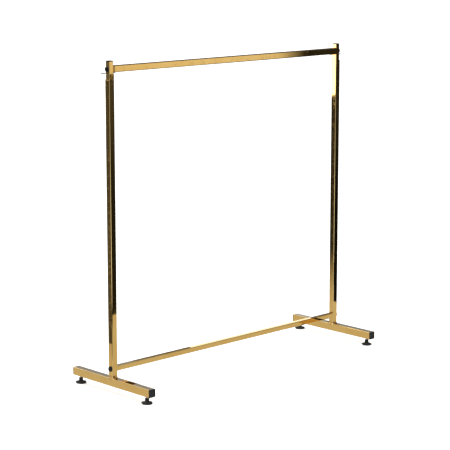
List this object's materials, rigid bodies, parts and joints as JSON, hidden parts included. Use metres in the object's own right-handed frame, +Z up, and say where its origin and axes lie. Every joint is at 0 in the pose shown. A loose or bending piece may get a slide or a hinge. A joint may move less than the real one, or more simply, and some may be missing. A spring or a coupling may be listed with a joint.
{
  "type": "garment rack",
  "caption": "Straight garment rack of gold-toned square tube with a hang rail on telescoping posts, a low brace bar and levelling feet.",
  "frame": {"origin": "on the floor, midway between the uprights and midway front to back", "axes": "+X along the hang rail, +Y towards the back, +Z up"},
  "size_m": [1.589, 0.546, 1.535],
  "materials": {
    "gold_tube": "polished gold-tone plating on steel tube",
    "weld_bead": "plated weld bead, slightly dull",
    "black_cap": "fine-grained moulded plastic",
    "black_insert": "moulded plastic",
    "black_knob": "smooth moulded plastic",
    "zinc_steel": "zinc plated thread",
    "zinc_nut": "zinc plated",
    "pad_plastic": "matt moulded nylon",
    "pin_steel": "blackened steel wire"
  },
  "bodies": {
    "base_frame": {"foot_tube_left": "gold_tube", "foot_tube_right": "gold_tube", "upright_left": "gold_tube", "upright_right": "gold_tube", "base_weld_left": "weld_bead", "base_weld_right": "weld_bead", "lower_bar": "gold_tube", "bar_plug_left": "black_insert", "bar_bolt_left": "zinc_steel", "bar_bolt_head_left": "black_knob", "foot_cap_left_front": "black_cap", "rivet_nut_left_front": "zinc_nut", "foot_cap_left_back": "black_cap", "rivet_nut_left_back": "zinc_nut", "bar_plug_right": "black_insert", "bar_bolt_right": "zinc_steel", "bar_bolt_head_right": "black_knob", "foot_cap_right_front": "black_cap", "rivet_nut_right_front": "zinc_nut", "foot_cap_right_back": "black_cap", "rivet_nut_right_back": "zinc_nut"},
    "top_frame": {"hang_rail": "gold_tube", "inner_post_left": "gold_tube", "post_cap_left": "black_cap", "post_guide_left": "black_cap", "rail_collar_left": "gold_tube", "rail_plug_left": "black_insert", "rail_bolt_left": "zinc_steel", "rail_bolt_head_left": "black_knob", "inner_post_right": "gold_tube", "post_cap_right": "black_cap", "post_guide_right": "black_cap", "rail_collar_right": "gold_tube", "rail_plug_right": "black_insert", "rail_bolt_right": "zinc_steel", "rail_bolt_head_right": "black_knob"},
    "pin_left": {"height_pin_left": "pin_steel"},
    "pin_right": {"height_pin_right": "pin_steel"},
    "stud_left_front": {"leveller_stud_left_front": "zinc_steel"},
    "pad_left_front": {"leveller_pad_left_front": "pad_plastic"},
    "stud_left_back": {"leveller_stud_left_back": "zinc_steel"},
    "pad_left_back": {"leveller_pad_left_back": "pad_plastic"},
    "stud_right_front": {"leveller_stud_right_front": "zinc_steel"},
    "pad_right_front": {"leveller_pad_right_front": "pad_plastic"},
    "stud_right_back": {"leveller_stud_right_back": "zinc_steel"},
    "pad_right_back": {"leveller_pad_right_back": "pad_plastic"}
  },
  "joints": [
    {"name": "top_lift", "type": "slide", "parent": "base_frame", "child": "top_frame", "axis": [0, 0, 1], "range_m": [0, 0.3]},
    {"name": "pin_pull_left", "type": "slide", "parent": "top_frame", "child": "pin_left", "axis": [-1, 0, 0], "range_m": [0, 0.05]},
    {"name": "pin_pull_right", "type": "slide", "parent": "top_frame", "child": "pin_right", "axis": [1, 0, 0], "range_m": [0, 0.05]},
    {"name": "leveller_travel_left_front", "type": "slide", "parent": "base_frame", "child": "stud_left_front", "axis": [0, 0, -1], "range_m": [-0.006, 0.006]},
    {"name": "leveller_turn_left_front", "type": "hinge", "parent": "stud_left_front", "child": "pad_left_front", "pos_m": [-0.75, -0.236, 0], "axis": [0, 0, -1], "range_deg": [-1440, 1440]},
    {"name": "leveller_travel_left_back", "type": "slide", "parent": "base_frame", "child": "stud_left_back", "axis": [0, 0, -1], "range_m": [-0.006, 0.006]},
    {"name": "leveller_turn_left_back", "type": "hinge", "parent": "stud_left_back", "child": "pad_left_back", "pos_m": [-0.75, 0.236, 0], "axis": [0, 0, -1], "range_deg": [-1440, 1440]},
    {"name": "leveller_travel_right_front", "type": "slide", "parent": "base_frame", "child": "stud_right_front", "axis": [0, 0, -1], "range_m": [-0.006, 0.006]},
    {"name": "leveller_turn_right_front", "type": "hinge", "parent": "stud_right_front", "child": "pad_right_front", "pos_m": [0.75, -0.236, 0], "axis": [0, 0, -1], "range_deg": [-1440, 1440]},
    {"name": "leveller_travel_right_back", "type": "slide", "parent": "base_frame", "child": "stud_right_back", "axis": [0, 0, -1], "range_m": [-0.006, 0.006]},
    {"name": "leveller_turn_right_back", "type": "hinge", "parent": "stud_right_back", "child": "pad_right_back", "pos_m": [0.75, 0.236, 0], "axis": [0, 0, -1], "range_deg": [-1440, 1440]}
  ],
  "couplings": [
    {"joint": "leveller_turn_left_front", "follows": "leveller_travel_left_front", "rad_per_m": 4188.8},
    {"joint": "leveller_turn_left_back", "follows": "leveller_travel_left_back", "rad_per_m": 4188.8},
    {"joint": "leveller_turn_right_front", "follows": "leveller_travel_right_front", "rad_per_m": 4188.8},
    {"joint": "leveller_turn_right_back", "follows": "leveller_travel_right_back", "rad_per_m": 4188.8}
  ]
}
